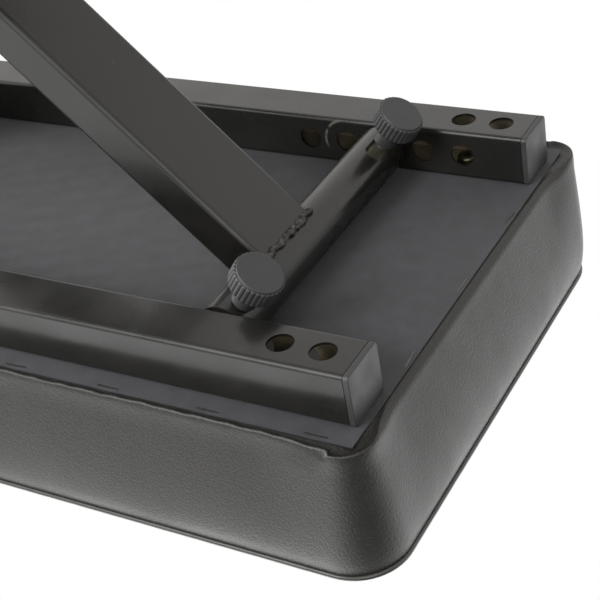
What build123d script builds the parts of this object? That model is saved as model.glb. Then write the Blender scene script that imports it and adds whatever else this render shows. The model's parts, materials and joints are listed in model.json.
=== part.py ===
from build123d import *
import os
from math import atan, cos, degrees, radians, sin, sqrt

# Folding piano bench on a steel X frame, standing on its feet, with its pins at the third hole.
# Frame: origin on the floor under the middle of the seat, +X towards the adjusting end, +Z up.
# "Near" is the +Y side and "far" is the -Y side. All sizes are in millimetres.

# Seat rails
rail_length = 479.0
rail_side = 30.0
rail_wall = 1.5
rail_corner = 2.5
rail_gap = 190.0            # between the inner faces of the two rails
adjusting_holes = 5
hole_pitch = 25.0
hole_radius = 7.0
last_hole_from_end = 36.3
rest_hole_from_last = 2     # the pins rest in the third hole
access_radius = 7.0
access_from_end = 17.0      # first screw, from the tube's end
access_spacing = 23.3       # second screw at the adjusting end; twice that at the fixed end
cap_plate = 3.4
cap_spigot = 8.0
cap_spigot_wall = 3.0

# X frame
leg_length = 500.0          # from the crossbar's axis to the foot bar's axis
rest_angle = 45.0           # leg to floor with the pins in the third hole
leg_width = 50.0
leg_thickness = 25.0
leg_wall = 1.5
leg_corner = 3.0
leg_gap = 1.0               # between the two legs where they cross
bar_radius = 14.3
bar_wall = 2.0
bar_end_gap = 2.5           # from a crossbar's end to the rail
foot_bar_half = 147.0
foot_cap_radius = 18.0
foot_cap_length = 30.0
foot_cap_end = 3.0
foot_cap_edge = 1.5
sole_drop = 16.0            # from the foot bar's axis to the flat sole
weld_radius = 2.6
cope_gap = 0.05

# Pivots
m6_radius = 3.0
m8_radius = 4.0
m10_radius = 5.0
thread_gap = 0.02
running_gap = 0.06
face_gap = 0.1
plug_length = 20.0
bush_radius = 6.0
bush_flange_radius = 9.0
bush_flange = 2.0
sleeve_radius = 8.0

# Plungers
stud_from_rail = 13.66      # stud axis to the rail's inner face
knob_tilt = 35.0            # from straight down, towards +X
slot_width = 11.5
slot_inboard = 17.6         # from the stud's axis to the slot's inner end
guide_length = 4.5
guide_recess = 0.5
plunger_body_length = 27.5
plunger_body_gap = 0.1
nose_radius = 6.3
nose_gap = 0.1
nose_edge = 1.0
pin_clearance = 0.3         # from the nose's tip to the rail
spring_length = 35.0
spring_radius = 9.0
spring_wire = 0.9
spring_turns = 8
stop_thickness = 4.0
knob_height = 39.2          # from the crossbar's axis to the knob's top
knob_head = 11.5
knob_radius = 13.75
knob_top_radius = 13.0
knob_neck_radius = 6.7
knob_edge = 0.8
rim_radius = 12.0           # inner edge of the raised rim
groove_radius = 11.2
groove_depth = 0.7
dome_rise = 0.5
knob_flutes = 32
flute_radius = 0.8
stud_low = -6.0
stud_high = 25.0

# Seat pad
dust_thickness = 0.6
dust_edge_x = 7.1           # beyond the rail tube's end
dust_edge_y = 12.0          # beyond the rail's outer face
dust_corner = 1.5
cover_thickness = 1.2
turn_under = 20.0
turn_under_corner = 5.0
board_length = 498.0
board_width = 278.0
board_thickness = 12.0
board_corner = 19.0
seam_height = 78.0          # from the underside to the top seam
seat_length = 520.0
seat_width = 300.0
seat_corner = 30.0
side_flare = 7.4            # each side leans out this much between underside and seam
piping_radius = 1.6
crown_height = 6.0
crown_inset = 22.0
pad_gap = 0.1

# Fasteners
screw_head_radius = 5.8
screw_head_height = 3.6
screw_head_round = 1.2
socket_width = 4.0
socket_depth = 2.2
screw_length = 16.0
screw_washer_radius = 6.3
washer_thickness = 1.6
screw_hole_radius = 3.3
t_nut_radius = 4.0
t_nut_flange_radius = 9.5
t_nut_flange = 1.5
t_nut_barrel = 9.0
hex_m8 = 13.0
hex_m8_height = 5.3
hex_m10 = 17.0
hex_m10_height = 6.4
nut_hex_height = 7.0
nut_collar_height = 3.0
nut_collar_radius = 7.2
pivot_bolt_tip = 18.0       # how far an M8 bolt reaches into its plug
pivot_washer_radius = 8.0
centre_washer_radius = 10.5
centre_washer = 2.0
centre_spacer_radius = 14.0
staple_crown = 13.0
staple_wire = 0.4
staple_width = 1.2
staple_leg = 8.0
staple_inset = 2.0
staple_pitch_long = 60.0
staple_first_long = 226.5
staples_long = 8
staple_pitch_end = 65.0
staple_middle_end = 5.0
cover_staple_pitch = 40.0

# Heights and stations worked out from the sizes above
foot_z = sole_drop
pivot_z = foot_z + leg_length * sin(radians(rest_angle))
pin_x = rail_length / 2 - last_hole_from_end - rest_hole_from_last * hole_pitch
pivot_x = pin_x - leg_length * cos(radians(rest_angle))
centre_x = (pin_x + pivot_x) / 2
centre_z = (foot_z + pivot_z) / 2
seat_z = pivot_z + rail_side / 2
board_z = seat_z + dust_thickness + cover_thickness
board_top = board_z + board_thickness
seam_z = seat_z + seam_height
rail_inner = rail_gap / 2
rail_y = rail_inner + rail_side / 2
rail_outer = rail_inner + rail_side
bar_half = rail_inner - bar_end_gap
bar_bore = bar_radius - bar_wall
stud_y = rail_inner - stud_from_rail
guide_outer = bar_half - guide_recess
guide_inner = guide_outer - guide_length
body_inner = guide_inner - plunger_body_length
spring_inner = body_inner - spring_length
cover_length = seat_length - 2 * piping_radius
cover_width = seat_width - 2 * piping_radius
cover_corner = seat_corner - piping_radius
flare_angle = degrees(atan(side_flare / seam_height))
band_high = seam_z - piping_radius - pad_gap
crown_low = seam_z + piping_radius + pad_gap
access_x = [
    rail_length / 2 - access_from_end,
    rail_length / 2 - access_from_end - access_spacing,
    -rail_length / 2 + access_from_end,
    -rail_length / 2 + access_from_end + 2 * access_spacing,
]
sides = {"near": 1, "far": -1}
bore_slack = 1.0


def rod(radius, y_from, y_to, x=0.0, z=0.0):
    """A round bar along Y between two stations."""
    return Pos(x, (y_from + y_to) / 2, z) * Rot(90, 0, 0) * Cylinder(radius, abs(y_to - y_from))


def ring(outer, inner, y_from, y_to, x=0.0, z=0.0):
    """A tube along Y between two stations."""
    return rod(outer, y_from, y_to, x, z) - rod(inner, y_from, y_to, x, z)


def post(radius, z_from, z_to, x, y):
    """A round bar along Z between two heights."""
    return Pos(x, y, (z_from + z_to) / 2) * Cylinder(radius, abs(z_to - z_from))


def hexagon(across_flats, y_from, y_to, x, z):
    """A hexagonal prism along Y."""
    prism = extrude(RegularPolygon(across_flats / 2, 6, major_radius=False), abs(y_to - y_from) / 2, both=True)
    return Pos(x, (y_from + y_to) / 2, z) * Rot(90, 0, 0) * prism


def plate(length, width, corner, z_from, z_to):
    """A flat plate with rounded corners."""
    return Pos(0, 0, z_from) * extrude(RectangleRounded(length, width, corner), z_to - z_from)


def save(node, *pieces):
    """Write one node; like pieces in one node stay separate solids."""
    solids = [solid for piece in pieces for solid in piece.solids()]
    shape = solids[0] if len(solids) == 1 else Compound(children=solids)
    shape.label = node
    export_step(shape, f"parts/{node}.step")


def rail(side):
    """Square tube with adjusting holes in its inner wall and access holes in its lower wall."""
    hollow = rail_side - 2 * rail_wall
    outline = RectangleRounded(rail_side, rail_side, rail_corner)
    outline -= RectangleRounded(hollow, hollow, rail_corner - rail_wall)
    tube = extrude(Plane.YZ * outline, rail_length / 2, both=True)
    tube = Pos(0, side * rail_y, pivot_z) * tube
    inner, outer = side * (rail_inner - bore_slack), side * (rail_inner + rail_wall + bore_slack)
    for step in range(adjusting_holes):
        x = rail_length / 2 - last_hole_from_end - step * hole_pitch
        tube -= rod(hole_radius, inner, outer, x, pivot_z)
    tube -= rod(bush_radius, inner, side * (rail_outer + bore_slack), pivot_x, pivot_z)
    for x in access_x:
        tube -= post(access_radius, pivot_z - rail_side, pivot_z - rail_side / 4, x, side * rail_y)
        tube -= post(screw_hole_radius, pivot_z, seat_z + bore_slack, x, side * rail_y)
    return tube


def rail_cap(side, end):
    """Moulded plug: a plate with the tube's outline and a hollow spigot inside the tube."""
    hollow = rail_side - 2 * rail_wall - 2 * face_gap
    plate_part = extrude(Plane.YZ * RectangleRounded(rail_side, rail_side, rail_corner), cap_plate)
    spigot = RectangleRounded(hollow, hollow, rail_corner - rail_wall)
    spigot -= Rectangle(hollow - 2 * cap_spigot_wall, hollow - 2 * cap_spigot_wall)
    cap = plate_part + extrude(Plane.YZ * spigot, -cap_spigot)
    turn = Rot(0, 0, 0) if end > 0 else Rot(0, 0, 180)
    return Pos(end * rail_length / 2, side * rail_y, pivot_z) * turn * cap


def rail_screw(x, y):
    """M6 button head screw, head down inside the rail, with a hex socket."""
    head_top = seat_z - rail_wall - washer_thickness
    head = post(screw_head_radius, head_top - screw_head_height, head_top, x, y)
    head = fillet(head.edges().filter_by(GeomType.CIRCLE).group_by(Axis.Z)[0], screw_head_round)
    socket = extrude(RegularPolygon(socket_width / 2, 6, major_radius=False), socket_depth)
    head -= Pos(x, y, head_top - screw_head_height) * socket
    return head + post(m6_radius, head_top, head_top + screw_length, x, y)


def rail_screw_washer(x, y):
    """Flat washer between a screw's head and the rail's upper wall."""
    top = seat_z - rail_wall
    low = top - washer_thickness
    return post(screw_washer_radius, low, top, x, y) - post(m6_radius + face_gap, low, top, x, y)


def t_nut(x, y):
    """T-nut let into the top of the board."""
    flange_low = board_top - t_nut_flange
    nut = post(t_nut_flange_radius, flange_low, board_top, x, y)
    nut += post(t_nut_radius, flange_low - t_nut_barrel, flange_low, x, y)
    return nut - post(m6_radius + thread_gap, board_z, board_top, x, y)


def seat_board():
    """Plywood board, bored for the screws and let in for the T-nuts."""
    board = plate(board_length, board_width, board_corner, board_z, board_top)
    for y in (rail_y, -rail_y):
        for x in access_x:
            board -= post(t_nut_radius, board_z, board_top, x, y)
            board -= post(t_nut_flange_radius, board_top - t_nut_flange, board_top, x, y)
    return board


def flared_block(inset, z_low, z_high):
    """The flared seat, drawn in by an inset all round, between two heights below the seam."""
    drop = seam_z - z_low
    outline = RectangleRounded(cover_length - 2 * inset, cover_width - 2 * inset, cover_corner - inset)
    downwards = Plane(origin=(0, 0, seam_z), x_dir=(1, 0, 0), z_dir=(0, 0, -1))
    block = extrude(downwards * outline, drop, taper=flare_angle)
    room = Box(2 * seat_length, 2 * seat_width, z_high - z_low)
    return block & Pos(0, 0, (z_low + z_high) / 2) * room


def crown_block(inset):
    """The low crown above the piping, drawn in by an inset on every face."""
    outline = RectangleRounded(cover_length - 2 * inset, cover_width - 2 * inset, cover_corner - inset)
    height = seam_z + crown_height - crown_low - inset
    lean = degrees(atan(crown_inset / height))
    return Pos(0, 0, crown_low) * extrude(outline, height, taper=lean)


def foam_pad():
    """Foam block that fills the cover above the board."""
    inset = cover_thickness + pad_gap
    body = flared_block(inset, board_top, band_high)
    neck_inset = 2 * piping_radius + pad_gap
    neck_size = (cover_length - 2 * neck_inset, cover_width - 2 * neck_inset)
    neck = plate(*neck_size, cover_corner - neck_inset, band_high, crown_low)
    return body + neck + crown_block(inset)


def cover_side_band():
    """Leatherette band: flared sides, turned under the board along its lower edge."""
    low = seat_z + dust_thickness
    band = flared_block(0, low, band_high) - flared_block(cover_thickness, board_z, band_high)
    bottom_flare = side_flare * (seam_z - low) / seam_height
    length = cover_length - 2 * (bottom_flare + turn_under)
    width = cover_width - 2 * (bottom_flare + turn_under)
    return band - plate(length, width, turn_under_corner, low, board_z)


def cover_top_panel():
    """Leatherette top panel, laid over the crown of the foam."""
    return crown_block(0) - crown_block(cover_thickness)


def cover_piping():
    """Covered cord sewn into the top seam, all the way round."""
    path = RectangleRounded(cover_length, cover_width, cover_corner).wire()
    path = Pos(0, 0, seam_z) * path
    section = Plane(origin=path @ 0, z_dir=path % 0) * Circle(piping_radius)
    return sweep(section, path)


def dust_cover():
    """Non-woven cloth over the whole underside, between the board and the rails."""
    length = rail_length + 2 * dust_edge_x
    width = 2 * (rail_outer + dust_edge_y)
    cloth = plate(length, width, dust_corner, seat_z, seat_z + dust_thickness)
    for y in (rail_y, -rail_y):
        for x in access_x:
            cloth -= post(screw_hole_radius, seat_z, seat_z + dust_thickness, x, y)
    return cloth


def staple(x, y, crown_low, along_x):
    """Wire staple: a flat crown below and two legs up into the board."""
    crown = Pos(0, 0, staple_wire / 2) * Box(staple_crown, staple_width, staple_wire)
    one = crown
    for end in (1, -1):
        leg = Box(staple_wire, staple_width, staple_leg)
        one += Pos(end * (staple_crown - staple_wire) / 2, 0, staple_leg / 2) * leg
    turn = Rot(0, 0, 0) if along_x else Rot(0, 0, 90)
    return Pos(x, y, crown_low) * turn * one


def dust_cover_staples():
    """Staples just inside the dust cover's edge."""
    edge_x = rail_length / 2 + dust_edge_x - staple_inset
    edge_y = rail_outer + dust_edge_y - staple_inset
    low = seat_z - staple_wire
    found = []
    for step in range(staples_long):
        x = staple_first_long - step * staple_pitch_long
        found += [staple(x, side * edge_y, low, True) for side in (1, -1)]
    for step in (-1, 0, 1):
        y = staple_middle_end + step * staple_pitch_end
        found += [staple(end * edge_x, y, low, False) for end in (1, -1)]
    return found


def cover_staples():
    """Staples through the turned-under band, hidden by the dust cover."""
    edge_x = board_length / 2 - turn_under / 2
    edge_y = board_width / 2 - turn_under / 2
    low = seat_z + dust_thickness - staple_wire
    count_x = int(edge_x // cover_staple_pitch)
    count_y = int(edge_y // cover_staple_pitch)
    found = []
    for step in range(-count_x, count_x + 1):
        found += [staple(step * cover_staple_pitch, side * edge_y, low, True) for side in (1, -1)]
    for step in range(-count_y, count_y + 1):
        found += [staple(end * edge_x, step * cover_staple_pitch, low, False) for end in (1, -1)]
    return found


def pivot_bush(side, outside):
    """Flanged nylon bush in one wall of a rail, its flange outside the tube."""
    face = rail_outer if outside else rail_inner
    inwards = -rail_wall if outside else rail_wall
    barrel = rod(bush_radius, side * face, side * (face + inwards), pivot_x, pivot_z)
    flange_to = face + (bush_flange if outside else -bush_flange)
    flange = rod(bush_flange_radius, side * face, side * flange_to, pivot_x, pivot_z)
    bore = rod(m8_radius + running_gap, side * (face - rail_side), side * (face + rail_side), pivot_x, pivot_z)
    return barrel + flange - bore


def pivot_bolt(side):
    """M8 bolt through a rail into the crossbar's plug."""
    head_low = rail_outer + bush_flange + face_gap + washer_thickness
    tip = bar_half - pivot_bolt_tip
    shank = rod(m8_radius, side * tip, side * head_low, pivot_x, pivot_z)
    return shank + hexagon(hex_m8, side * head_low, side * (head_low + hex_m8_height), pivot_x, pivot_z)


def pivot_bolt_washer(side):
    """Washer under an M8 bolt's head."""
    low = rail_outer + bush_flange + face_gap
    bore = m8_radius + thread_gap
    return ring(pivot_washer_radius, bore, side * low, side * (low + washer_thickness), pivot_x, pivot_z)


def crossbar_plug(side):
    """Threaded steel plug in the end of the fixed crossbar."""
    bore = m8_radius + thread_gap
    inner = side * (bar_half - plug_length)
    return ring(bar_bore - thread_gap, bore, inner, side * bar_half, pivot_x, pivot_z)


def leg_frame(x, angle):
    """Frame at a leg's upper axis, its +X running down the leg."""
    return Pos(x, 0, pivot_z) * Rot(0, angle, 0)


def leg_envelope(side):
    """A leg's solid outline along +X, beside the middle plane."""
    outline = RectangleRounded(leg_width, leg_thickness, leg_corner)
    middle = side * (leg_gap + leg_width) / 2
    return Pos(0, middle, 0) * extrude(Plane.YZ * outline, leg_length)


def leg_tube(side, x, angle):
    """Rectangular tube, coped to the round bars at both ends and bored for the centre sleeve."""
    bore = RectangleRounded(leg_width - 2 * leg_wall, leg_thickness - 2 * leg_wall, leg_corner - leg_wall)
    middle = side * (leg_gap + leg_width) / 2
    tube = leg_envelope(side) - Pos(0, middle, 0) * extrude(Plane.YZ * bore, leg_length)
    for station in (0, leg_length):
        tube -= rod(bar_radius + cope_gap, -leg_width * 2, leg_width * 2, station)
    tube -= rod(sleeve_radius, -leg_width * 2, leg_width * 2, leg_length / 2)
    return leg_frame(x, angle) * tube


def leg_welds(side, x, angle):
    """Weld beads where the leg meets its round bars: across both wide faces and round the outer edge."""
    meets = sqrt(bar_radius ** 2 - (leg_thickness / 2) ** 2)
    inner, outer = side * leg_gap / 2, side * (leg_gap / 2 + leg_width)
    beads = []
    for station, inwards in ((0, 1), (leg_length, -1)):
        row = station + inwards * (meets + weld_radius / 2)
        bead = Pos(station, outer, 0) * Rot(90, 0, 0) * Torus(bar_radius, weld_radius)
        window = Pos(station + inwards * (meets + bar_radius) / 2, outer + side * weld_radius / 2, 0)
        bead &= window * Box(bar_radius + meets, weld_radius, leg_thickness)
        for face in (1, -1):
            bead += rod(weld_radius, inner, outer, row, face * leg_thickness / 2)
        bead -= leg_envelope(side)
        bead -= rod(bar_radius + cope_gap, -leg_width * 2, leg_width * 2, station)
        beads += [leg_frame(x, angle) * solid for solid in bead.solids()]
    return beads


def leg_sleeve(side):
    """Steel sleeve welded through a leg for the centre bolt."""
    inner, outer = side * leg_gap / 2, side * (leg_gap / 2 + leg_width)
    return ring(sleeve_radius, m10_radius + running_gap, inner, outer, centre_x, centre_z)


def foot_bar(x):
    """Round tube that lies across the floor."""
    return ring(bar_radius, bar_bore, -foot_bar_half, foot_bar_half, x, foot_z)


def foot_cap(x, side):
    """Rubber cap with a flat sole."""
    outer = foot_bar_half + foot_cap_end
    inner = outer - foot_cap_length
    cap = rod(foot_cap_radius, side * inner, side * outer, x, foot_z)
    cap = chamfer(cap.edges().filter_by(GeomType.CIRCLE), foot_cap_edge)
    cap -= rod(bar_radius, side * inner, side * foot_bar_half, x, foot_z)
    above = Pos(x, side * (inner + outer) / 2, foot_cap_radius * 2)
    return cap & above * Box(4 * foot_cap_radius, 2 * foot_cap_length, 4 * foot_cap_radius)


def centre_bolt():
    """M10 bolt along the crossing of the legs, its head on leg A's side."""
    face = leg_gap / 2 + leg_width
    head_low = face + centre_washer
    tip = head_low + face_gap + nut_hex_height + nut_collar_height
    bolt = rod(m10_radius, -head_low, tip, centre_x, centre_z)
    return bolt + hexagon(hex_m10, -head_low, -head_low - hex_m10_height, centre_x, centre_z)


def centre_nut():
    """Locking nut with its collar."""
    low = leg_gap / 2 + leg_width + centre_washer + face_gap
    hexed = hexagon(hex_m10, low, low + nut_hex_height, centre_x, centre_z)
    collar_to = low + nut_hex_height + nut_collar_height
    collar = rod(nut_collar_radius, low + nut_hex_height, collar_to, centre_x, centre_z)
    return hexed + collar - rod(m10_radius + thread_gap, low, collar_to, centre_x, centre_z)


def centre_washer_at(side):
    """Steel washer on the outer face of a leg."""
    low = leg_gap / 2 + leg_width + (face_gap if side > 0 else 0)
    high = low + centre_washer
    return ring(centre_washer_radius, m10_radius + thread_gap, side * low, side * high, centre_x, centre_z)


def centre_spacer():
    """Nylon washer between the legs."""
    low, high = -leg_gap / 2, leg_gap / 2 - face_gap
    return ring(centre_spacer_radius, m10_radius + thread_gap, low, high, centre_x, centre_z)


def knob_frame(side):
    """Frame on the adjusting crossbar's axis at the stud, its +Z pointing out along the knob."""
    return Pos(pin_x, side * stud_y, pivot_z) * Rot(0, 180 - knob_tilt, 0)


def crossbar_b():
    """Round tube with a slot for each stud."""
    bar = ring(bar_radius, bar_bore, -bar_half, bar_half, pin_x, pivot_z)
    length = slot_inboard + slot_width / 2
    for side in sides.values():
        middle = slot_width / 2 - length / 2
        slot = extrude(SlotOverall(length, slot_width, rotation=90), 2 * bar_radius)
        bar -= knob_frame(side) * Pos(0, side * middle, 0) * slot
    return bar


def plunger_guide(side):
    """Bush pressed into the crossbar's end, which guides the plunger's nose."""
    bore = nose_radius + nose_gap
    return ring(bar_bore - thread_gap, bore, side * guide_inner, side * guide_outer, pin_x, pivot_z)


def spring_stop(side):
    """Disc pressed into the crossbar, which backs the spring."""
    inner = spring_inner - stop_thickness
    return rod(bar_bore - thread_gap, side * inner, side * spring_inner, pin_x, pivot_z)


def spring(side):
    """Compression spring between the stop and the plunger."""
    height = spring_length - 2 * spring_wire - 2 * face_gap
    coil = Helix(height / spring_turns, height, spring_radius)
    wire = sweep(Plane(origin=coil @ 0, z_dir=coil % 0) * Circle(spring_wire), coil, is_frenet=True)
    start = spring_inner + spring_wire + face_gap
    return Pos(pin_x, side * start, pivot_z) * Rot(-90 * side, 0, 0) * wire


def plunger(side):
    """Turned steel plunger: a body that fills the tube and a nose that reaches the rail."""
    body = rod(bar_bore - plunger_body_gap, side * body_inner, side * guide_inner, pin_x, pivot_z)
    tip = rail_inner - pin_clearance
    nose = rod(nose_radius, side * guide_inner, side * tip, pin_x, pivot_z)
    end = nose.edges().filter_by(GeomType.CIRCLE).sort_by(Axis.Y)[-1 if side > 0 else 0]
    nose = chamfer(end, nose_edge)
    hole = Pos(0, 0, (stud_low + bar_radius) / 2) * Cylinder(m8_radius + thread_gap, bar_radius - stud_low)
    return body + nose - knob_frame(side) * hole


def plunger_stud(side):
    """M8 stud from the plunger out into the knob."""
    stud = Pos(0, 0, (stud_low + stud_high) / 2) * Cylinder(m8_radius, stud_high - stud_low)
    return knob_frame(side) * stud


def plunger_knob(side):
    """Moulded knob: neck, fluted head, raised rim and a slightly domed middle."""
    neck_low = bar_radius + pin_clearance
    head_low = knob_height - knob_head
    floor = knob_height - groove_depth
    outline = Polyline(
        (0, neck_low),
        (knob_neck_radius, neck_low),
        (knob_neck_radius, head_low),
        (knob_radius - knob_edge, head_low),
        (knob_radius, head_low + knob_edge),
        (knob_radius, knob_height - 2 * knob_edge),
        (knob_top_radius, knob_height),
        (rim_radius, knob_height),
        (rim_radius, floor),
        (0, floor),
        close=True,
    )
    knob = revolve(Plane.XZ * make_face(outline), Axis.Z)
    ball_radius = (groove_radius ** 2 + dome_rise ** 2) / (2 * dome_rise)
    ball = Pos(0, 0, knob_height - ball_radius) * Sphere(ball_radius)
    knob += ball & Pos(0, 0, knob_height) * Cylinder(groove_radius, 2 * groove_depth)
    flute = Pos(knob_radius + flute_radius / 4, 0, head_low + knob_head / 2)
    flute *= Cylinder(flute_radius, knob_head + 2 * knob_edge)
    knob -= [Rot(0, 0, 360 / knob_flutes * step) * flute for step in range(knob_flutes)]
    knob -= Pos(0, 0, (neck_low + stud_high) / 2) * Cylinder(m8_radius + thread_gap, stud_high - neck_low)
    return knob_frame(side) * knob


os.makedirs("parts", exist_ok=True)

# Seat
save("seat_board", seat_board())
save("foam_pad", foam_pad())
save("cover_side_band", cover_side_band())
save("cover_top_panel", cover_top_panel())
save("cover_piping", cover_piping())
save("cover_staples", *cover_staples())
save("dust_cover", dust_cover())
save("dust_cover_staples", *dust_cover_staples())
screw_places = [(x, side * rail_y) for x in access_x for side in sides.values()]
save("rail_screws", *[rail_screw(x, y) for x, y in screw_places])
save("rail_screw_washers", *[rail_screw_washer(x, y) for x, y in screw_places])
save("rail_t_nuts", *[t_nut(x, y) for x, y in screw_places])
save("rail_end_caps", *[rail_cap(side, end) for side in sides.values() for end in (1, -1)])
save("pivot_bushes", *[pivot_bush(side, outside) for side in sides.values() for outside in (True, False)])
for name, side in sides.items():
    save(f"rail_{name}", rail(side))

# Leg A, on the fixed pivot
save("crossbar_a", ring(bar_radius, bar_bore, -bar_half, bar_half, pivot_x, pivot_z))
save("crossbar_a_plugs", *[crossbar_plug(side) for side in sides.values()])
save("pivot_bolts", *[pivot_bolt(side) for side in sides.values()])
save("pivot_bolt_washers", *[pivot_bolt_washer(side) for side in sides.values()])
save("centre_bolt", centre_bolt())
save("centre_nut", centre_nut())
save("centre_washers", centre_washer_at(1), centre_washer_at(-1))
save("centre_spacer", centre_spacer())

# Both legs: A hangs from the fixed pivot on the far side, B from the pins on the near side
legs = {"a": (-1, pivot_x, rest_angle, pin_x), "b": (1, pin_x, 180 - rest_angle, pivot_x)}
for name, (side, top_x, angle, foot_x) in legs.items():
    save(f"leg_{name}_tube", leg_tube(side, top_x, angle))
    save(f"leg_{name}_welds", *leg_welds(side, top_x, angle))
    save(f"leg_{name}_sleeve", leg_sleeve(side))
    save(f"foot_bar_{name}", foot_bar(foot_x))
    save(f"foot_caps_{name}", foot_cap(foot_x, 1), foot_cap(foot_x, -1))

# Adjusting crossbar and its plungers
save("crossbar_b", crossbar_b())
save("plunger_guides", *[plunger_guide(side) for side in sides.values()])
save("spring_stops", *[spring_stop(side) for side in sides.values()])
for name, side in sides.items():
    save(f"spring_{name}", spring(side))
    save(f"plunger_{name}", plunger(side))
    save(f"plunger_stud_{name}", plunger_stud(side))
    save(f"plunger_knob_{name}", plunger_knob(side))
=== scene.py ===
import json
from math import cos, pi, radians, sin, sqrt

import bmesh
import bpy
from mathutils import Matrix, Vector

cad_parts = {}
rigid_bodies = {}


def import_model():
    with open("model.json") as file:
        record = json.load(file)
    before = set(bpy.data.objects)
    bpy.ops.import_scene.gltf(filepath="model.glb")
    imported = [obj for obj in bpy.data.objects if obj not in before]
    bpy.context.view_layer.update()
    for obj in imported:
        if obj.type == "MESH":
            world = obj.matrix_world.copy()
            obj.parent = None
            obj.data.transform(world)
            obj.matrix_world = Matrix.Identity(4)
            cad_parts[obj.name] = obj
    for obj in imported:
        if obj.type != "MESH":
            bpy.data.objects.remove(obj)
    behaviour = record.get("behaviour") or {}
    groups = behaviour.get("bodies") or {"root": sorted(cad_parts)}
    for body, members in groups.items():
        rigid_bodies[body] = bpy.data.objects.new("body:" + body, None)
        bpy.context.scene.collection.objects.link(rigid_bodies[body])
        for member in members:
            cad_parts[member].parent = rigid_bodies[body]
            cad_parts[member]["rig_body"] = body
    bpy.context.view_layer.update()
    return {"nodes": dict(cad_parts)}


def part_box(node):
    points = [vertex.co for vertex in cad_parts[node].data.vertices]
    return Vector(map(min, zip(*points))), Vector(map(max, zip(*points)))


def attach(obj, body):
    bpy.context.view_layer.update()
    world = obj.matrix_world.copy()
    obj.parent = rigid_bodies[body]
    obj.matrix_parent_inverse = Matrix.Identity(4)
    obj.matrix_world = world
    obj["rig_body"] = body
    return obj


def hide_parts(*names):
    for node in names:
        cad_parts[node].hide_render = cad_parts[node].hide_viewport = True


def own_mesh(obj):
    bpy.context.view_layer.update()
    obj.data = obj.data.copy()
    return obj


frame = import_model()
nodes = frame["nodes"]

# Seat board: birch plywood, sawn to size and drilled for the T-nuts that the rails' screws turn into. The
# leatherette closes over its edge and the dust cover hides the rest.
MM = 0.001


def linear(code):
    """A shader's linear colour from an sRGB hex code."""
    channels = [int(code[i:i + 2], 16) / 255 for i in (0, 2, 4)]
    return [c / 12.92 if c <= 0.04045 else ((c + 0.055) / 1.055) ** 2.4 for c in channels] + [1.0]


def link(node, links):
    """Feeds a node's sockets from other nodes' outputs."""
    for name, output in links.items():
        node.id_data.links.new(output, node.inputs[name])


def add(tree, kind, settings=None, links=None):
    """Adds a node. Settings are its properties and socket values, and links are what its sockets take."""
    made = tree.nodes.new("ShaderNode" + kind)
    for name, value in (settings or {}).items():
        if isinstance(name, str) and hasattr(made, name):
            setattr(made, name, value)
        else:
            made.inputs[name].default_value = value
    link(made, links or {})
    return made


def material(name, settings):
    """A new material with one Principled shader. Gives it, its tree, the shader and Object coordinates."""
    made = bpy.data.materials.new(name)
    made.use_nodes = True
    made.node_tree.nodes.clear()
    shader = add(made.node_tree, "BsdfPrincipled", settings)
    add(made.node_tree, "OutputMaterial", links={"Surface": shader.outputs[0]})
    return made, made.node_tree, shader, add(made.node_tree, "TexCoord").outputs["Object"]


def paint(finish, *names):
    """Gives CAD nodes a material."""
    for name in names:
        nodes[name].data.materials.clear()
        nodes[name].data.materials.append(finish)


# Birch plywood: thin plies with the grain turned at each, pale and dark by turns at the edge, sanded dull. At
# the wave's scale a pale and a dark ply together are 1.76 mm thick.
birch_plywood, tree, shader, place = material("birch_plywood_sanded", {"Roughness": 0.62})
along = add(tree, "Mapping", {"Scale": (4.0, 60.0, 60.0)}, {"Vector": place})
grain = add(tree, "TexNoise", {"Scale": 9.0, "Detail": 6.0, "Roughness": 0.6}, {"Vector": along.outputs[0]})
plies = add(tree, "TexWave", {"bands_direction": "Z", "Scale": 1 / (5.6 * MM)}, {"Vector": place})
faces = add(tree, "Mix", {"data_type": "RGBA", 6: linear("b98d5c"), 7: linear("dcc096")},
            {0: grain.outputs["Fac"]})
edges = add(tree, "Mix", {"data_type": "RGBA", "blend_type": "MULTIPLY", 0: 0.35},
            {6: faces.outputs[2], 7: plies.outputs["Color"]})
bump = add(tree, "Bump", {"Strength": 0.3, "Distance": 0.1 * MM}, {"Height": grain.outputs["Fac"]})
link(shader, {"Base Color": edges.outputs[2], "Normal": bump.outputs[0]})
paint(birch_plywood, "seat_board")

# Cushion: the foam block under the cover's top panel. The welt seam holds the panel down all round, and the
# foam pushes it up between into a low crown. The cover is black PVC leatherette on a knitted back, sewn and
# pulled tight.


def name_piece(name, finish):
    """Names the shape just added, gives it a material, and puts its place and turn into its mesh."""
    piece = bpy.context.object
    piece.name = piece.data.name = name
    bpy.ops.object.transform_apply(location=True, rotation=True, scale=True)
    piece.data.materials.append(finish)
    return piece


def modify(piece, kind, **settings):
    """Adds a modifier to a piece and applies it."""
    made = piece.modifiers.new(kind, kind)
    for name, value in settings.items():
        setattr(made, name, value)
    bpy.context.view_layer.objects.active = piece
    bpy.ops.object.modifier_apply(modifier=made.name)


def runs(edge, axis):
    """How far an edge runs along an axis."""
    return abs(getattr(edge.verts[0].co, axis) - getattr(edge.verts[1].co, axis))


def choose(piece, kind, test):
    """Opens a piece in edit mode with only those vertices, edges or faces chosen that pass a test."""
    bpy.context.view_layer.objects.active = piece
    bpy.ops.object.mode_set(mode="EDIT")
    bpy.ops.mesh.select_mode(type=kind)
    bpy.ops.mesh.select_all(action="DESELECT")
    mesh = bmesh.from_edit_mesh(piece.data)
    for element in {"VERT": mesh.verts, "EDGE": mesh.edges, "FACE": mesh.faces}[kind]:
        if test(element):
            element.select_set(True)
    mesh.select_flush_mode()
    bmesh.update_edit_mesh(piece.data)


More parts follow.
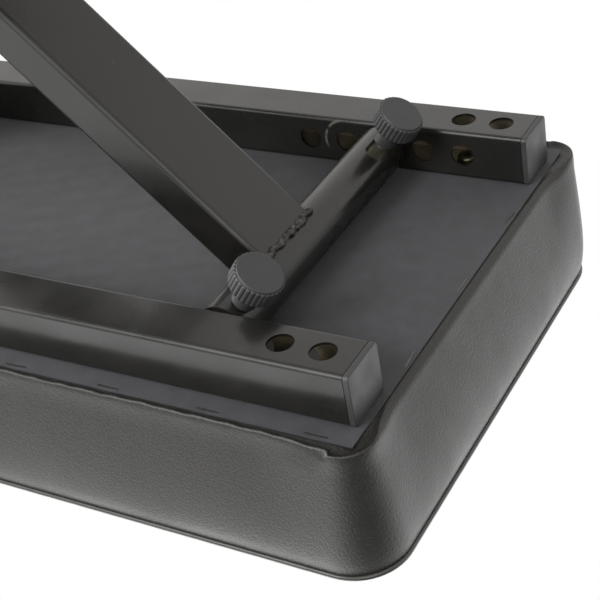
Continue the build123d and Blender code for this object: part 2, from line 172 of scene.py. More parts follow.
def close(piece, angle=None):
    """Leaves edit mode, and shades the piece smooth up to an angle if one is given."""
    bpy.ops.object.mode_set(mode="OBJECT")
    bpy.ops.object.select_all(action="DESELECT")
    piece.select_set(True)
    bpy.context.view_layer.objects.active = piece
    if angle is None:
        bpy.ops.object.shade_smooth()
    else:
        bpy.ops.object.shade_smooth_by_angle(angle=radians(angle))
        modify(piece, "WEIGHTED_NORMAL", keep_sharp=True)


def box(name, finish, size, middle):
    """A box, placed by its middle."""
    bpy.ops.object.select_all(action="DESELECT")
    bpy.ops.mesh.primitive_cube_add(size=1, location=middle)
    bpy.context.object.scale = size
    return name_piece(name, finish)


def round_edges(piece, offset, segments, test):
    """Bevels the edges that pass a test."""
    choose(piece, "EDGE", test)
    bpy.ops.mesh.bevel(offset=offset, segments=segments, affect="EDGES")
    close(piece)


# PVC leatherette: embossed pebble grain of about 1.3 mm with finer creases between, and a satin face that
# rubs a little brighter on the grain's tops.
grain_size = 1.3 * MM
leatherette, tree, shader, place = material("pvc_leatherette_embossed", {"Roughness": 0.4, "IOR": 1.52})
warp = add(tree, "TexNoise", {"Scale": 1 / (3 * grain_size), "Detail": 2.0}, {"Vector": place})
bent = add(tree, "VectorMath", {"operation": "MULTIPLY_ADD", 1: [0.5 * grain_size] * 3},
           {0: warp.outputs["Color"], 2: place})
pebble = add(tree, "TexVoronoi", {"Scale": 1 / grain_size, "feature": "SMOOTH_F1", "Smoothness": 0.35},
             {"Vector": bent.outputs[0]})
crease = add(tree, "TexNoise", {"Scale": 4 / grain_size, "Detail": 4.0, "Roughness": 0.6}, {"Vector": place})
height = add(tree, "Math", {"operation": "MULTIPLY_ADD", 1: -0.15},
             {0: crease.outputs["Fac"], 2: pebble.outputs["Distance"]})
bump = add(tree, "Bump", {"Strength": 0.55, "Distance": 0.22 * MM, "invert": True},
           {"Height": height.outputs[0]})
cloudy = add(tree, "TexNoise", {"Scale": 1 / (40 * MM), "Detail": 3.0}, {"Vector": place})
patches = add(tree, "Mix", {"data_type": "RGBA", 6: linear("141412"), 7: linear("1e1d1b")},
              {0: cloudy.outputs["Fac"]})
tops = add(tree, "MapRange", {"From Min": 0.0, "From Max": 0.6, "To Min": 1.0, "To Max": 0.0},
           {"Value": pebble.outputs["Distance"]})
rubbed = add(tree, "Mix", {"data_type": "RGBA", 7: linear("262521")},
             {0: tops.outputs[0], 6: patches.outputs[2]})
shine = add(tree, "MapRange", {"From Min": 0.3, "From Max": 0.7, "To Min": 0.37, "To Max": 0.46},
            {"Value": cloudy.outputs["Fac"]})
link(shader, {"Base Color": rubbed.outputs[2], "Roughness": shine.outputs[0], "Normal": bump.outputs[0]})

pad_low, pad_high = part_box("foam_pad")
welt_low, welt_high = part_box("cover_piping")
seam_z = (welt_low.z + welt_high.z) / 2
seat_corner = 28.4 * MM
top_edge = 3.5 * MM
top_flat = seam_z + 2.5 * MM
crown = 4.0 * MM
foam_voxel = 5.0 * MM
foam_lean = 6.5 * MM
foam_pressure = 4.0
cloth_frames = 20

cushion = box("seat_cushion", leatherette,
              (pad_high.x - pad_low.x, pad_high.y - pad_low.y, top_flat - pad_low.z),
              (0, 0, (pad_low.z + top_flat) / 2))
round_edges(cushion, seat_corner, 10, lambda e: runs(e, "z") > top_edge)
round_edges(cushion, top_edge, 4, lambda e: min(v.co.z for v in e.verts) > top_flat - top_edge)
choose(cushion, "VERT", lambda v: v.co.z < pad_low.z + top_edge)
bpy.ops.transform.resize(value=(1 - foam_lean / pad_high.x, 1 - foam_lean / pad_high.y, 1),
                         center_override=(0, 0, 0))
close(cushion)
modify(cushion, "REMESH", mode="VOXEL", voxel_size=foam_voxel)
rest_points = [v.co.copy() for v in cushion.data.vertices]
held_down = cushion.vertex_groups.new(name="held_down")
held_down.add([i for i, p in enumerate(rest_points) if p.z < seam_z - MM], 1.0, "REPLACE")
cloth = cushion.modifiers.new("CLOTH", "CLOTH")
cloth.settings.use_pressure = True
cloth.settings.uniform_pressure_force = foam_pressure
cloth.settings.effector_weights.gravity = 0.0
cloth.settings.vertex_group_mass = "held_down"
for step in range(1, cloth_frames + 1):
    bpy.context.scene.frame_set(step)
bpy.context.view_layer.objects.active = cushion
bpy.ops.object.modifier_apply(modifier="CLOTH")
bpy.context.scene.frame_set(1)
for vertex, rest in zip(cushion.data.vertices, rest_points):
    moved = vertex.co - rest
    if moved.length > 0:
        vertex.co = rest + moved.normalized() * min(moved.length, crown)
modify(cushion, "SMOOTH", factor=0.5, iterations=6)
modify(cushion, "SUBSURF", levels=1, render_levels=1)
close(cushion)
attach(cushion, "seat")
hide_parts("foam_pad", "cover_top_panel")

# Side band: one strip of leatherette sewn into the seam, pulled down round the foam, turned under the board's
# edge and stapled there. Its fold stands up in a soft ridge along the sides, and is pleated at each corner.


def outline(half_x, half_y, corner):
    """Points round a rounded rectangle, with the same number on each corner and run whatever its size."""
    arc_points, long_points, end_points = 14, 76, 42
    # A long run has more points close to its ends, where the pleats are
    near_end = [0.0, 0.0015, 0.003, 0.0045, 0.0065, 0.010]
    long_run = (near_end + [i / long_points for i in range(1, long_points)]
                + [1 - f for f in reversed(near_end[1:])])
    end_run = [i / end_points for i in range(end_points)]
    points = []
    for turn, (sx, sy) in enumerate(((1, 1), (-1, 1), (-1, -1), (1, -1))):
        centre = Vector((sx * (half_x - corner), sy * (half_y - corner), 0))
        for f in (i / arc_points for i in range(arc_points)):
            a = (turn + f) * pi / 2
            points.append(("corner", f, centre + corner * Vector((cos(a), sin(a), 0))))
        a = (turn + 1) * pi / 2
        start = centre + corner * Vector((cos(a), sin(a), 0))
        ahead = Vector((cos(a + pi / 2), sin(a + pi / 2), 0))
        kind, run, shares = (("long", 2 * (half_x - corner), long_run) if turn % 2 == 0
                             else ("end", 2 * (half_y - corner), end_run))
        for f in shares:
            points.append((kind, min(f, 1 - f) * run, start + ahead * run * f))
    return points


def outward(line):
    """The level direction straight out from each point of an outline."""
    return [(line[(i + 1) % len(line)][2] - line[i - 1][2]).cross(Vector((0, 0, 1))).normalized()
            for i in range(len(line))]


def loft(name, rows, finish, tube=False):
    """A skin through rows of points that each go once round the seat. A tube's last row joins its first."""
    count = len(rows[0])
    pairs = [(i, i + 1) for i in range(len(rows) - 1)] + ([(len(rows) - 1, 0)] if tube else [])
    quads = [(a * count + i, a * count + (i + 1) % count, b * count + (i + 1) % count, b * count + i)
             for a, b in pairs for i in range(count)]
    mesh = bpy.data.meshes.new(name)
    mesh.from_pydata([p for row in rows for p in row], [], quads)
    mesh.materials.append(finish)
    piece = bpy.data.objects.new(name, mesh)
    bpy.context.scene.collection.objects.link(piece)
    choose(piece, "FACE", lambda f: True)
    bpy.ops.mesh.normals_make_consistent(inside=False)
    close(piece)
    return piece


def wander(distance, seed):
    """A smooth, uneven wave between -1 and 1 along a distance."""
    waves = ((0.017, 0.5), (0.041, 0.3), (0.097, 0.2))
    return sum(share * sin(2 * pi * distance / length + seed * 7.3 + length * 91) for length, share in waves)


def ease(t):
    """0 below 0, 1 above 1, and smooth between."""
    t = max(0.0, min(1.0, t))
    return t * t * (3 - 2 * t)


under_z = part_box("cover_side_band")[0].z
seam_half = welt_high.xy - Vector((1.6, 1.6)) * MM
fold_half = Vector((251.0, 142.2)) * MM
fold_corner = 12.5 * MM
corner_stand = 4.3 * MM
turned_half = fold_half - Vector((20, 20)) * MM
# Each profile: how far out, and how far down, in millimetres. The seam's is from the seam, and the others are
# from the fold line and the turned-under face
seam_roll = ((-1.2, -0.5), (-0.4, 0.8), (0.2, 1.8), (0.5, 3.2))
long_fold = ((0.3, -3.8), (0.2, -1.9), (0.0, -0.2), (-0.35, 0.9), (-0.95, 1.6), (-1.6, 1.7), (-2.15, 1.2),
             (-2.5, 0.2), (-2.9, -0.6), (-5.0, -0.2), (-9.0, 0.0))
end_fold = ((0.35, -5.6), (-0.05, -3.6), (-0.7, -2.1), (-1.5, -1.1), (-2.5, -0.4), (-3.4, -0.1), (-4.4, -0.3),
            (-5.4, -0.3), (-6.6, 0.0), (-8.0, 0.0), (-10.0, 0.0))
corner_fold = ((0.3, -4.2), (0.2, -2.0), (0.05, -0.4), (-0.2, 0.6), (-0.7, 1.0), (-1.4, 0.6), (-2.6, -0.6),
               (-4.6, -1.2), (-7.2, -1.2), (-10.0, -0.4), (-13.5, 0.0))
side_steps, side_swell, end_swell = 16, 3.4 * MM, 0.8 * MM
side_top, side_low = seam_z - seam_roll[-1][1] * MM, under_z + 4.5 * MM
# How far from a corner its spare leather still stands up, along a long side and along an end
stand_reach = {"long": 45 * MM, "end": 32 * MM}
pleat_reach, end_reach = 20 * MM, 14 * MM

seam_line = outline(seam_half.x, seam_half.y, seat_corner)
fold_line = outline(fold_half.x, fold_half.y, fold_corner)
turned_line = outline(turned_half.x, turned_half.y, 2 * MM)
fold_out, travel, fold_spots = outward(fold_line), 0.0, []
for i, (kind, where, point) in enumerate(fold_line):
    travel += (point - fold_line[i - 1][2]).length if i else 0.0
    fold_spots.append(travel)
seam_out = outward(seam_line)
stand = [1.0 if kind == "corner" else ease(1 - where / stand_reach[kind]) for kind, where, point in fold_line]

rows = []
for out, down in seam_roll:
    rows.append([point + seam_out[i] * out * MM + Vector((0, 0, seam_z - down * MM))
                 for i, (kind, where, point) in enumerate(seam_line)])
for step in range(1, side_steps):
    k = step / side_steps
    row = []
    for i, (kind, where, point) in enumerate(fold_line):
        fullest = side_swell + 0.2 * MM * wander(fold_spots[i] / 6, 2)
        if kind == "end":
            fullest += end_swell * (1 - stand[i])
        slack = 0.2 * MM * k * k * wander(fold_spots[i], 5) * (1 - stand[i])
        out = fullest * sin(pi * k ** 0.6) + slack + corner_stand * k ** 1.5 * stand[i]
        row.append(seam_line[i][2].lerp(point, k) + fold_out[i] * out
                   + Vector((0, 0, side_top + (side_low - side_top) * k)))
    rows.append(row)
for step in range(len(long_fold)):
    row = []
    # The pleat is an abrupt step at the long side's end, and the end side runs into the corner softly
    reach = {"long": max(2 * MM, pleat_reach - 8 * MM * step), "end": end_reach}
    ruffle = ease(step / 4) * (1 - ease((step - 5) / 6))
    for i, (kind, where, point) in enumerate(fold_line):
        turn = 1.0 if kind == "corner" else ease(1 - where / reach[kind])
        side_shape = end_fold if kind == "end" else long_fold
        out, down = (a + (b - a) * turn for a, b in zip(side_shape[step], corner_fold[step]))
        uneven = (0.3 if kind == "long" else 0.1) * ruffle * wander(fold_spots[i], 1) * (1 - turn)
        crest = max(0.0, down) * 0.35 * wander(fold_spots[i], 3) * (1 - turn)
        held_in = 0.55 + 0.45 * turn if kind == "long" else 1.0
        out = (out + uneven) * MM + corner_stand * stand[i] * held_in
        row.append(point + fold_out[i] * out + Vector((0, 0, under_z - (down + crest) * MM)))
    rows.append(row)
rows.append([point + Vector((0, 0, under_z)) for kind, where, point in turned_line])
side_band = loft("seat_side_band", rows, leatherette)
modify(side_band, "SOLIDIFY", thickness=1.0 * MM, offset=-1.0)
close(side_band)
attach(side_band, "seat")
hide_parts("cover_side_band")

# Welt: a thin cord wrapped in a strip of the leatherette and sewn into the top seam, between the top panel
# and the side band.


def clouded(name, settings, size, detail, tints, matte=None, grain=None):
    """A material mottled between two tints by a noise. That noise can carry its roughness from one limit to
    another, and a grain's size, detail, strength and depth give it a bump."""
    made, tree, shader, place = material(name, settings)
    cloud = add(tree, "TexNoise", {"Scale": 1 / size, "Detail": detail}, {"Vector": place}).outputs["Fac"]
    tint = add(tree, "Mix", {"data_type": "RGBA", 6: linear(tints[0]), 7: linear(tints[1])}, {0: cloud})
    link(shader, {"Base Color": tint.outputs[2]})
    if matte:
        limits = {"From Min": 0.3, "From Max": 0.7, "To Min": matte[0], "To Max": matte[1]}
        link(shader, {"Roughness": add(tree, "MapRange", limits, {"Value": cloud}).outputs[0]})
    if grain:
        size, detail, strength, depth = grain
        bumps = add(tree, "TexNoise", {"Scale": 1 / size, "Detail": detail}, {"Vector": place})
        bump = add(tree, "Bump", {"Strength": strength, "Distance": depth}, {"Height": bumps.outputs["Fac"]})
        link(shader, {"Normal": bump.outputs[0]})
    return made


# Stretched leatherette: drawn tight round the cord, which irons its grain out and leaves it shinier.
welt_leather = clouded("pvc_leatherette_stretched", {
    "Roughness": 0.3, "IOR": 1.52, "Coat Weight": 0.8, "Coat Roughness": 0.22},
    15 * MM, 4.0, ("1c1b19", "302f2b"), matte=(0.24, 0.38))

welt_radius, welt_sides = 1.55 * MM, 12
rows = []
for step in range(welt_sides):
    a = 2 * pi * step / welt_sides
    row = []
    for i, (kind, where, point) in enumerate(seam_line):
        radius = welt_radius + 0.06 * MM * wander(fold_spots[i], 4)
        row.append(point + seam_out[i] * radius * cos(a) + Vector((0, 0, seam_z + radius * sin(a))))
    rows.append(row)
welt = loft("seat_welt", rows, welt_leather, tube=True)
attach(welt, "seat")
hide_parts("cover_piping")

# Dust cover: black spunbond polypropylene, its edge folded in, stretched over the underside and stapled to
# the board. The staples pull shallow puckers into it, and the rails press it flat against the board.

# Spunbond polypropylene: fibres pressed together, seen as a faint cloudy mottle with short bright threads.
spunbond, tree, shader, place = material("polypropylene_spunbond", {
    "Roughness": 0.7, "Sheen Weight": 0.15, "Sheen Roughness": 0.5})
clouds = add(tree, "TexNoise", {"Scale": 1 / (9 * MM), "Detail": 5.0, "Roughness": 0.6}, {"Vector": place})
fibres = add(tree, "TexNoise", {"Scale": 1 / (1.2 * MM), "Detail": 5.0, "Roughness": 0.7, "Distortion": 1.5},
             {"Vector": place})
blend = add(tree, "Math", {"operation": "MULTIPLY_ADD", 1: 0.5},
            {0: fibres.outputs["Fac"], 2: clouds.outputs["Fac"]})
amount = add(tree, "MapRange", {"From Min": 0.55, "From Max": 0.95}, {"Value": blend.outputs[0]})
tint = add(tree, "Mix", {"data_type": "RGBA", 6: linear("242428"), 7: linear("2f2f34")},
           {0: amount.outputs[0]})
bump = add(tree, "Bump", {"Strength": 0.4, "Distance": 0.12 * MM}, {"Height": fibres.outputs["Fac"]})
link(shader, {"Base Color": tint.outputs[2], "Normal": bump.outputs[0]})

# Galvanised staple wire, dulled and darkened by the gun's flat driver.
wire = clouded("staple_wire_galvanised", {"Metallic": 1.0, "Roughness": 0.38}, 1.5 * MM, 3.0,
               ("3a3937", "7d7b78"))
paint(wire, "cover_staples")


def islands(node):
    """The middle and size of each separate solid in a CAD node."""
    mesh = bmesh.new()
    mesh.from_mesh(nodes[node].data)
    bmesh.ops.remove_doubles(mesh, verts=mesh.verts, dist=0.001 * MM)
    left, found = set(mesh.verts), []
    while left:
        group, reach = set(), [next(iter(left))]
        while reach:
            vertex = reach.pop()
            if vertex in left:
                left.discard(vertex)
                group.add(vertex)
                reach += [e.other_vert(vertex) for e in vertex.link_edges]
        low = Vector([min(v.co[i] for v in group) for i in range(3)])
        high = Vector([max(v.co[i] for v in group) for i in range(3)])
        found.append(((low + high) / 2, high - low))
    mesh.free()
    return sorted(found, key=lambda f: tuple(f[0]))


staple_places = islands("dust_cover_staples")
dust_low, dust_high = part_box("dust_cover")
hem, pucker, under_rail_ease = 8 * MM, 10 * MM, 5 * MM
bpy.ops.object.select_all(action="DESELECT")
bpy.ops.mesh.primitive_grid_add(x_subdivisions=164, y_subdivisions=92, size=1,
                                location=(0, 0, dust_low.z + 0.2 * MM))
bpy.context.object.scale = (dust_high.x - dust_low.x, dust_high.y - dust_low.y, 1)
dust_cover = name_piece("underside_dust_cover", spunbond)
half = dust_high.xy
for vertex in dust_cover.data.vertices:
    x, y = vertex.co.x, vertex.co.y
    edge = min(half.x - abs(x), half.y - abs(y))
    slack = 0.3 * wander(x * 0.6 + y * 0.25, 6) * wander(y * 0.8 - x * 0.1, 8)
    pull = sum(0.2 * ease(1 - (vertex.co.xy - middle.xy).length / pucker) for middle, size in staple_places)
    under_rail = (ease((abs(y) - 90 * MM) / (6 * MM)) * ease((129 * MM - abs(y)) / under_rail_ease)
                  * ease((244 * MM - abs(x)) / under_rail_ease))
    rise = (slack - 0.25) * ease(edge / (12 * MM)) - 0.3 * (1 - ease(edge / (10 * MM)))
    vertex.co.z += (rise + pull) * (1 - under_rail) * MM
choose(dust_cover, "EDGE", lambda e: e.is_boundary)
bpy.ops.mesh.extrude_region_move(TRANSFORM_OT_translate={"value": (0, 0, 0.55 * MM)})
bpy.ops.mesh.extrude_region_move()
bpy.ops.transform.resize(value=(1 - hem / half.x, 1 - hem / half.y, 1), center_override=(0, 0, 0))
close(dust_cover)
modify(dust_cover, "SOLIDIFY", thickness=0.3 * MM, offset=0.0)
close(dust_cover, 60)
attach(dust_cover, "seat")
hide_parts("dust_cover")

# Staples: flat galvanised wire, driven flush by an air gun through the dust cover's hem and the leatherette
# under it into the board, each a little off square.


def copy_piece(piece, name, change):
    """A copy of a finished piece with its own mesh, moved, turned or mirrored by a matrix."""
    made = bpy.data.objects.new(name, piece.data.copy())
    made.data.name = name
    made.data.transform(change)
    if change.determinant() < 0:
        made.data.flip_normals()
    bpy.context.scene.collection.objects.link(made)
    return made


def join_pieces(name, made):
    """Joins a list of pieces into one."""
    bpy.ops.object.select_all(action="DESELECT")
    for piece in made:
        piece.select_set(True)
    bpy.context.view_layer.objects.active = made[0]
    bpy.ops.object.join()
    made[0].name = made[0].data.name = name
    return made[0]


staple_length, staple_wide, staple_thick, staple_leg = 13 * MM, 1.2 * MM, 0.5 * MM, 6 * MM
staple = box("dust_cover_staple", wire, (staple_length, staple_wide, staple_thick), (0, 0, 0))
choose(staple, "EDGE", lambda e: runs(e, "x") > staple_wide)
bpy.ops.mesh.subdivide(number_cuts=8)
close(staple)
choose(staple, "FACE", lambda f: f.normal.z > 0.9 and abs(f.calc_center_median().x) > staple_length * 0.43)
bpy.ops.mesh.extrude_region_move(TRANSFORM_OT_translate={"value": (0, 0, staple_leg)})
close(staple)
choose(staple, "VERT", lambda v: abs(v.co.x) < staple_length * 0.25 and v.co.z < staple_thick)
bpy.ops.transform.translate(value=(0, 0, 0.12 * MM))
close(staple)
modify(staple, "BEVEL", width=0.16 * MM, segments=2, limit_method="ANGLE")
copies = []
for i, (middle, size) in enumerate(staple_places):
    turn = (0.0 if size.x > size.y else pi / 2) + radians(5 * wander(0.013 * i, 9))
    spot = Matrix.Translation((middle.x, middle.y, dust_low.z - 0.1 * MM)) @ Matrix.Rotation(turn, 4, "Z")
    copies.append(copy_piece(staple, "staple", spot))
bpy.data.objects.remove(staple)
staples = join_pieces("underside_staples", copies)
close(staples, 40)
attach(staples, "seat")
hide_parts("dust_cover_staples")

# Seat rails: two lengths of 30 mm square steel tube, drilled and enamelled black. Five holes in each inner
# wall take the plungers, two bushes carry the fixed pivot, and a key reaches the screws by the holes below.


def drill(piece, holes, rim):
    """Cuts round holes, each a middle, a direction, a radius and a depth, and rounds their rims."""
    bits = []
    for middle, direction, radius, depth in holes:
        bpy.ops.mesh.primitive_cylinder_add(vertices=48, radius=radius, depth=depth, location=middle,
                                            rotation=Vector(direction).to_track_quat("Z", "Y").to_euler())
        bits.append(bpy.context.object)
    cut(piece, bits)

    def on_rim(edge):
        close_to = 0.01 * MM
        for middle, direction, radius, depth in holes:
            axis = Vector(direction)
            apart = [(v.co - middle) - (v.co - middle).dot(axis) * axis for v in edge.verts]
            round_it = all(abs(a.length - radius) < close_to for a in apart)
            level = abs((edge.verts[0].co - edge.verts[1].co).dot(axis)) < close_to
            if round_it and level and (apart[0] - apart[1]).length > 0.1 * MM:
                return max(abs((v.co - middle).dot(axis)) for v in edge.verts) < depth / 2
        return False

    choose(piece, "EDGE", on_rim)
    bpy.ops.mesh.bevel(offset=rim, segments=2, affect="EDGES", clamp_overlap=True)
    close(piece, 35)


def cut(piece, bits):
    """Takes the shapes in a list out of a piece."""
    bpy.ops.object.select_all(action="DESELECT")
    for bit in bits:
        bit.select_set(True)
    bpy.context.view_layer.objects.active = bits[0]
    bpy.ops.object.join()
    modify(piece, "BOOLEAN", object=bits[0], operation="DIFFERENCE", solver="EXACT")
    bpy.data.objects.remove(bits[0])


def centre_of(node):
    """The middle of a CAD node's box."""
    low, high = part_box(node)
    return (low + high) / 2


# Baking enamel: sprayed over bare steel and baked, a satin-gloss black with a fine orange peel, rubbed thin
# in patches, with a few specks of dust.
black_enamel, tree, shader, place = material("black_baking_enamel", {
    "Roughness": 0.3, "Coat Weight": 0.25, "Coat Roughness": 0.12})
peel = add(tree, "TexNoise", {"Scale": 1 / (2.4 * MM), "Detail": 1.0}, {"Vector": place})
handled = add(tree, "TexNoise", {"Scale": 1 / (35 * MM), "Detail": 2.0, "Roughness": 0.5}, {"Vector": place})
specks = add(tree, "TexVoronoi", {"Scale": 1 / (16 * MM)}, {"Vector": place})
dust = add(tree, "MapRange", {"From Min": 0.012, "From Max": 0.022, "To Min": 1.0, "To Max": 0.0},
           {"Value": specks.outputs["Distance"]})
paint_tint = add(tree, "Mix", {"data_type": "RGBA", 6: linear("0d0d0c"), 7: linear("191815")},
                 {0: handled.outputs["Fac"]})
dusty = add(tree, "Mix", {"data_type": "RGBA", 7: linear("9a978c")},
            {0: dust.outputs[0], 6: paint_tint.outputs[2]})
gloss = add(tree, "MapRange", {"From Min": 0.3, "From Max": 0.7, "To Min": 0.24, "To Max": 0.38},
            {"Value": handled.outputs["Fac"]})
bump = add(tree, "Bump", {"Strength": 0.08, "Distance": 0.02 * MM}, {"Height": peel.outputs["Fac"]})
link(shader, {"Base Color": dusty.outputs[2], "Roughness": gloss.outputs[0], "Normal": bump.outputs[0]})

rail_low, rail_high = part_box("rail_near")
bar_middle, pivot_middle = centre_of("crossbar_b"), centre_of("crossbar_a")
tube_corner, tube_wall = 2.5 * MM, 1.5 * MM
hole_radius, hole_pitch, hole_rim, bush_radius, key_hole_radius = 7 * MM, 25 * MM, 0.7 * MM, 6 * MM, 7 * MM

# Rubbed enamel, for the rails: where the crossbar's end has turned against the inner wall beside the second
# hole, it has polished a broken arc of its own radius.
arc_radius, arc_middle = 14.2 * MM, bar_middle - Vector((hole_pitch, 0, 0))
rubbed_enamel = black_enamel.copy()
rubbed_enamel.name = "black_baking_enamel_rubbed"
tree = rubbed_enamel.node_tree
shader = [n for n in tree.nodes if n.type == "BSDF_PRINCIPLED"][0]
plain_tint = shader.inputs["Base Color"].links[0].from_socket
place = add(tree, "TexCoord").outputs["Object"]
flat = add(tree, "VectorMath", {"operation": "MULTIPLY", 1: (1, 0, 1)}, {0: place})
apart = add(tree, "VectorMath", {"operation": "DISTANCE", 1: (arc_middle.x, 0, arc_middle.z)},
            {0: flat.outputs[0]})
off_arc = add(tree, "Math", {"operation": "SUBTRACT", 1: arc_radius}, {0: apart.outputs["Value"]})
from_arc = add(tree, "Math", {"operation": "ABSOLUTE"}, {0: off_arc.outputs[0]})
axes = add(tree, "SeparateXYZ", {}, {0: place})
patchy = add(tree, "TexNoise", {"Scale": 1 / (5 * MM), "Detail": 4.0}, {"Vector": place})
far_wall = add(tree, "Math", {"operation": "COMPARE", 1: -rail_low.y, 2: 0.5 * MM}, {0: axes.outputs["Y"]})
worn_arc = far_wall.outputs[0]
# Each row is a value, where the wear is full, and where it has faded out
for value, full, gone in ((from_arc.outputs[0], 0.2 * MM, 1.1 * MM),
                          (axes.outputs["X"], arc_middle.x - 8 * MM, arc_middle.x),
                          (axes.outputs["Z"], arc_middle.z, arc_middle.z + 6 * MM),
                          (patchy.outputs["Fac"], 0.52, 0.36)):
    mask = add(tree, "MapRange", {"From Min": full, "From Max": gone, "To Min": 1.0, "To Max": 0.0},
               {"Value": value})
    worn_arc = add(tree, "Math", {"operation": "MULTIPLY"}, {0: worn_arc, 1: mask.outputs[0]}).outputs[0]
worn_tint = add(tree, "Mix", {"data_type": "RGBA", 7: linear("6c6a62")}, {0: worn_arc, 6: plain_tint})
link(shader, {"Base Color": worn_tint.outputs[2]})

# Mill scale: the spray doesn't reach the tubes' insides, which keep the brown-grey skin of the rolled strip.
mill_scale = clouded("steel_mill_scale", {"Metallic": 0.4, "Roughness": 0.55}, 3 * MM, 5.0,
                     ("57503f", "857c68"), grain=(3 * MM, 5.0, 0.3, 0.05 * MM))

rail_near = box("seat_rail_near", rubbed_enamel, rail_high - rail_low, centre_of("rail_near"))
rail_near.data.materials.append(mill_scale)
round_edges(rail_near, tube_corner, 5, lambda e: runs(e, "x") > tube_corner)
choose(rail_near, "FACE", lambda f: abs(f.normal.x) > 0.9)
bpy.ops.mesh.delete(type="FACE")
close(rail_near)
modify(rail_near, "SOLIDIFY", thickness=tube_wall, offset=-1.0, material_offset=1)
# The crossbar is in the third of five holes, so the others are one and two pitches to either side of it
holes = [(Vector((bar_middle.x + step * hole_pitch, rail_low.y + tube_wall / 2, bar_middle.z)), (0, 1, 0),
          hole_radius, 4 * tube_wall) for step in range(-2, 3)]
holes.append((Vector((pivot_middle.x, centre_of("rail_near").y, pivot_middle.z)), (0, 1, 0), bush_radius,
              1.5 * (rail_high.y - rail_low.y)))
holes += [(Vector((middle.x, middle.y, rail_low.z + tube_wall / 2)), (0, 0, 1),
           key_hole_radius, 4 * tube_wall) for middle, size in islands("rail_screws") if middle.y > 0]
drill(rail_near, holes, hole_rim)
rail_far = copy_piece(rail_near, "seat_rail_far", Matrix.Scale(-1, 4, (0, 1, 0)))
for rail, node in ((rail_near, "rail_near"), (rail_far, "rail_far")):
    close(rail, 35)
    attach(rail, "seat")
    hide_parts(node)

# Rail plugs: moulded ABS, pushed into the tube ends. A thin plate covers the end, and a hollow spigot behind
# it grips inside the tube.

# Moulded ABS: matte charcoal with a fine spark-eroded grain and slightly shinier worn patches.
black_abs = clouded("black_abs_moulded", {"Roughness": 0.5}, 12 * MM, 4.0, ("28282a", "373738"),
                    matte=(0.42, 0.58), grain=(0.35 * MM, 3.0, 0.3, 0.05 * MM))

plug_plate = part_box("rail_end_caps")[1].x - rail_high.x
plug_edge, spigot_fit, spigot_wall, spigot_length = 0.6 * MM, 0.15 * MM, 3 * MM, 8 * MM
plug = box("rail_plug", black_abs, (plug_plate, rail_high.y - rail_low.y, rail_high.z - rail_low.z),
           (rail_high.x + plug_plate / 2, centre_of("rail_near").y, bar_middle.z))
round_edges(plug, tube_corner, 5, lambda e: runs(e, "x") > plug_edge)
round_edges(plug, plug_edge, 3, lambda e: runs(e, "x") < 0.01 * MM)
choose(plug, "FACE", lambda f: f.normal.x < -0.99)
bpy.ops.mesh.inset(thickness=tube_wall - plug_edge + spigot_fit)
bpy.ops.mesh.extrude_region_move(TRANSFORM_OT_translate={"value": (-spigot_length, 0, 0)})
bpy.ops.mesh.inset(thickness=spigot_wall)
bpy.ops.mesh.extrude_region_move(TRANSFORM_OT_translate={"value": (spigot_length, 0, 0)})
close(plug)
mirrors = (Matrix.Identity(4), Matrix.Scale(-1, 4, (1, 0, 0)), Matrix.Scale(-1, 4, (0, 1, 0)),
           Matrix.Rotation(pi, 4, "Z"))
plugs = join_pieces("rail_end_plugs", [copy_piece(plug, "plug", change) for change in mirrors])
bpy.data.objects.remove(plug)
close(plugs, 35)
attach(plugs, "seat")
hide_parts("rail_end_caps")

# Rail fasteners: M6 button-head screws and washers in yellow zinc inside the rails, and T-nuts in the board.
# The T-nuts and all the other hardware are bright zinc plate on rolled and turned steel, and the pivot's
# bushes are moulded nylon.

# Bright zinc: a thin cool-white plate with a slight bluish cloud, finely scratched by the tumbling barrel.
bright_zinc, tree, shader, place = material("bright_zinc_plate", {"Metallic": 1.0, "Roughness": 0.3})
cloud = add(tree, "TexNoise", {"Scale": 1 / (6 * MM), "Detail": 4.0}, {"Vector": place})
scratch_place = add(tree, "Mapping", {"Scale": (1.0, 1.0, 8.0), "Rotation": (0.4, 0.7, 0.2)},
                    {"Vector": place})
scratch = add(tree, "TexNoise", {"Scale": 1 / (1.2 * MM), "Detail": 3.0},
              {"Vector": scratch_place.outputs[0]})
tint = add(tree, "Mix", {"data_type": "RGBA", 6: linear("a9acb0"), 7: linear("cfcdc4")},
           {0: cloud.outputs["Fac"]})
matte = add(tree, "MapRange", {"From Min": 0.3, "From Max": 0.7, "To Min": 0.22, "To Max": 0.4},
            {"Value": scratch.outputs["Fac"]})
bump = add(tree, "Bump", {"Strength": 0.15, "Distance": 0.02 * MM}, {"Height": scratch.outputs["Fac"]})
link(shader, {"Base Color": tint.outputs[2], "Roughness": matte.outputs[0], "Normal": bump.outputs[0]})
paint(bright_zinc, "rail_t_nuts", "crossbar_a_plugs", "plunger_guides",
      "spring_stops", "plunger_stud_near", "plunger_stud_far")

# Yellow zinc, for the screws and washers inside the rails: chromated olive-gold and dulled by handling.
yellow_zinc = clouded("yellow_zinc_chromate", {"Metallic": 1.0, "Roughness": 0.4}, 3 * MM, 5.0,
                      ("46443a", "8c8872"), grain=(3 * MM, 5.0, 0.2, 0.03 * MM))
paint(yellow_zinc, "rail_screws", "rail_screw_washers")

# Moulded nylon: milky off-white with a soft satin face.
natural_nylon = clouded("natural_nylon_moulded", {
    "Roughness": 0.42, "Subsurface Weight": 0.1, "Subsurface Scale": 1.0 * MM},
    5 * MM, 3.0, ("d2cdbf", "e2dfd4"), grain=(5 * MM, 3.0, 0.1, 0.05 * MM))
paint(natural_nylon, "pivot_bushes", "centre_spacer")

